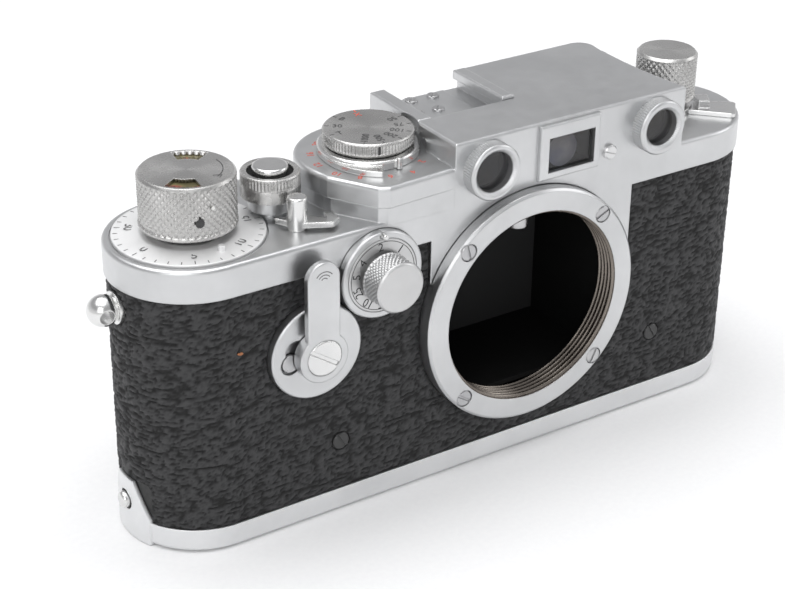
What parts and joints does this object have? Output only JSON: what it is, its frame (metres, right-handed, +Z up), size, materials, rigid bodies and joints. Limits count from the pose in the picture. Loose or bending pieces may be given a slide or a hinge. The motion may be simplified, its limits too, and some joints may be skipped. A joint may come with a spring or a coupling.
{
  "type": "rangefinder camera body",
  "caption": "Screw-mount rangefinder camera body without a lens: satin chrome top with knobs and dials, leather sides, open threaded lens ring.",
  "frame": {"origin": "centre of the base plate's underside", "axes": "+X to the right seen from the front, along the length; +Y to the back; +Z up; the lens looks along -Y"},
  "size_m": [0.1466, 0.0397, 0.0698],
  "materials": {
    "chrome_satin": "satin chrome plated brass",
    "chrome_bright": "polished chrome",
    "steel": "turned and ground steel",
    "brass": "plain turned brass",
    "casting": "black lacquered light alloy casting",
    "black_enamel": "matt black enamel",
    "leather": "grained black vulcanite leather",
    "cloth": "rubberised black cloth",
    "glass": "coated optical glass",
    "mirror": "silvered prism",
    "dark_steel": "blackened screws"
  },
  "bodies": {
    "body": {"accessory_shoe": "chrome_satin", "body_screws": "dark_steel", "body_shell": "casting", "chassis": "casting", "eyepiece_bezel": "black_enamel", "film_gate": "black_enamel", "finder_glasses": "glass", "flange_screws": "steel", "latch_stud": "chrome_bright", "leather_cover": "leather", "lens_flange": "chrome_satin", "pressure_plate": "black_enamel", "rangefinder_bezel_left": "chrome_satin", "rangefinder_bezel_right": "chrome_satin", "rangefinder_prism": "mirror", "rangefinder_telescope": "black_enamel", "release_bush": "chrome_satin", "release_collar": "chrome_satin", "shoe_leaf": "chrome_satin", "shoe_screws": "steel", "shutter_curtains": "cloth", "slow_governor": "brass", "slow_ring": "chrome_satin", "strap_lug_left": "chrome_bright", "strap_lug_right": "chrome_bright", "sync_socket": "chrome_bright", "throat_box": "black_enamel", "timer_movement": "brass", "timer_plate": "chrome_satin", "top_cover": "chrome_satin", "viewfinder_frame": "chrome_satin", "viewfinder_tunnel": "black_enamel"},
    "winding": {"wind_knob": "chrome_satin", "wind_shaft": "steel", "take_up_spool": "black_enamel"},
    "reminder_disc": {"reminder_disc": "brass"},
    "counter_dial": {"counter_dial": "chrome_satin"},
    "sprocket": {"sprocket_shaft": "steel"},
    "shutter_drum": {"shutter_drum": "brass"},
    "first_roller": {"first_curtain_roller": "steel"},
    "second_roller": {"second_curtain_roller": "steel"},
    "speed_sleeve": {"speed_sleeve": "brass"},
    "speed_dial": {"speed_dial": "chrome_satin"},
    "release_button": {"release_button": "chrome_bright"},
    "reversing_lever": {"reversing_lever": "chrome_bright"},
    "sync_ring": {"sync_ring": "chrome_bright"},
    "rewind_shaft": {"rewind_shaft": "steel"},
    "rewind_knob": {"rewind_knob": "chrome_satin"},
    "dioptre_lever": {"dioptre_lever": "chrome_bright"},
    "slow_dial": {"slow_dial": "chrome_satin"},
    "slow_lock": {"slow_lock": "chrome_bright"},
    "timer_lever": {"timer_lever": "chrome_satin", "timer_screw": "chrome_bright"},
    "timer_button": {"timer_button": "steel"},
    "cam_arm": {"cam_arm": "steel"},
    "cam_roller": {"cam_roller": "brass"},
    "base_plate": {"base_plate": "chrome_satin", "tripod_bush": "brass"},
    "lock_key": {"lock_key": "chrome_satin"},
    "key_bow": {"key_bow": "chrome_bright"}
  },
  "joints": [
    {"name": "wind_turn", "type": "hinge", "parent": "body", "child": "winding", "pos_m": [-0.05335, 0, 0.064], "axis": [0, 0, 1], "continuous": true},
    {"name": "counter_turn", "type": "hinge", "parent": "body", "child": "counter_dial", "pos_m": [-0.05335, 0, 0.0576], "axis": [0, 0, 1], "continuous": true},
    {"name": "reminder_turn", "type": "hinge", "parent": "winding", "child": "reminder_disc", "pos_m": [-0.05335, 0, 0.0683], "axis": [0, 0, 1], "continuous": true},
    {"name": "sprocket_turn", "type": "hinge", "parent": "body", "child": "sprocket", "pos_m": [-0.037, 0, 0.055], "axis": [0, 0, 1], "continuous": true},
    {"name": "drum_turn", "type": "hinge", "parent": "body", "child": "shutter_drum", "pos_m": [-0.01656, 0, 0.055], "axis": [0, 0, 1], "continuous": true},
    {"name": "first_roller_turn", "type": "hinge", "parent": "body", "child": "first_roller", "pos_m": [0.033, 0.0055, 0.03], "axis": [0, 0, 1], "continuous": true},
    {"name": "second_roller_turn", "type": "hinge", "parent": "body", "child": "second_roller", "pos_m": [0.0366, 0.0055, 0.03], "axis": [0, 0, 1], "continuous": true},
    {"name": "speed_dial_turn", "type": "hinge", "parent": "shutter_drum", "child": "speed_sleeve", "pos_m": [-0.01656, 0, 0.065], "axis": [0, 0, 1], "continuous": true},
    {"name": "speed_dial_lift", "type": "slide", "parent": "speed_sleeve", "child": "speed_dial", "axis": [0, 0, 1], "range_m": [0, 0.0015]},
    {"name": "release_press", "type": "slide", "parent": "body", "child": "release_button", "axis": [0, 0, -1], "range_m": [0, 0.0025], "stiffness_N_per_m": 250, "springref_m": -0.001},
    {"name": "reversing_turn", "type": "hinge", "parent": "body", "child": "reversing_lever", "pos_m": [-0.0365, -0.0084, 0.0585], "axis": [0, 0, 1], "range_deg": [-8, 40]},
    {"name": "sync_ring_turn", "type": "hinge", "parent": "body", "child": "sync_ring", "pos_m": [-0.01656, 0, 0.0652], "axis": [0, 0, 1], "range_deg": [-120, 45]},
    {"name": "rewind_turn", "type": "hinge", "parent": "body", "child": "rewind_shaft", "pos_m": [0.05335, 0, 0.06], "axis": [0, 0, 1], "continuous": true},
    {"name": "rewind_lift", "type": "slide", "parent": "rewind_shaft", "child": "rewind_knob", "axis": [0, 0, 1], "range_m": [0, 0.006]},
    {"name": "dioptre_turn", "type": "hinge", "parent": "body", "child": "dioptre_lever", "pos_m": [0.05335, 0, 0.058], "axis": [0, 0, 1], "range_deg": [-30, 25]},
    {"name": "slow_dial_turn", "type": "hinge", "parent": "body", "child": "slow_dial", "pos_m": [-0.024, -0.017, 0.0483], "axis": [0, 1, 0], "range_deg": [-200, 40]},
    {"name": "slow_lock_press", "type": "slide", "parent": "body", "child": "slow_lock", "axis": [0, 1, 0], "range_m": [0, 0.0008], "stiffness_N_per_m": 150, "springref_m": -0.0005},
    {"name": "timer_lever_turn", "type": "hinge", "parent": "body", "child": "timer_lever", "pos_m": [-0.03725, -0.017, 0.0364], "axis": [0, -1, 0], "range_deg": [0, 170]},
    {"name": "timer_button_press", "type": "slide", "parent": "body", "child": "timer_button", "axis": [0, 1, 0], "range_m": [0, 0.0008], "stiffness_N_per_m": 150, "springref_m": -0.0005},
    {"name": "cam_arm_swing", "type": "hinge", "parent": "body", "child": "cam_arm", "pos_m": [-0.0155, -0.01, 0.0486], "axis": [0, 0, 1], "range_deg": [0, 10], "stiffness_Nm_per_rad": 0.004, "springref_deg": -17.19},
    {"name": "cam_roller_turn", "type": "hinge", "parent": "cam_arm", "child": "cam_roller", "pos_m": [0.0103, -0.01, 0.0466], "axis": [0, 0, 1], "continuous": true},
    {"name": "base_plate_open", "type": "hinge", "parent": "body", "child": "base_plate", "pos_m": [-0.0685, 0, 0.0122], "axis": [0, 1, 0], "range_deg": [0, 12]},
    {"name": "lock_key_turn", "type": "hinge", "parent": "base_plate", "child": "lock_key", "pos_m": [0.05335, 0, 0.001], "axis": [0, 0, 1], "range_deg": [0, 180]},
    {"name": "key_bow_fold", "type": "hinge", "parent": "lock_key", "child": "key_bow", "pos_m": [0.05335, 0.0022, 0.00052], "axis": [1, 0, 0], "range_deg": [0, 95]}
  ],
  "couplings": [
    {"joint": "counter_turn", "follows": "wind_turn", "ratio": 0.025},
    {"joint": "sprocket_turn", "follows": "wind_turn", "ratio": -1},
    {"joint": "drum_turn", "follows": "wind_turn", "ratio": 0.66667},
    {"joint": "first_roller_turn", "follows": "wind_turn", "ratio": 2.1778},
    {"joint": "second_roller_turn", "follows": "wind_turn", "ratio": 2.1778}
  ]
}
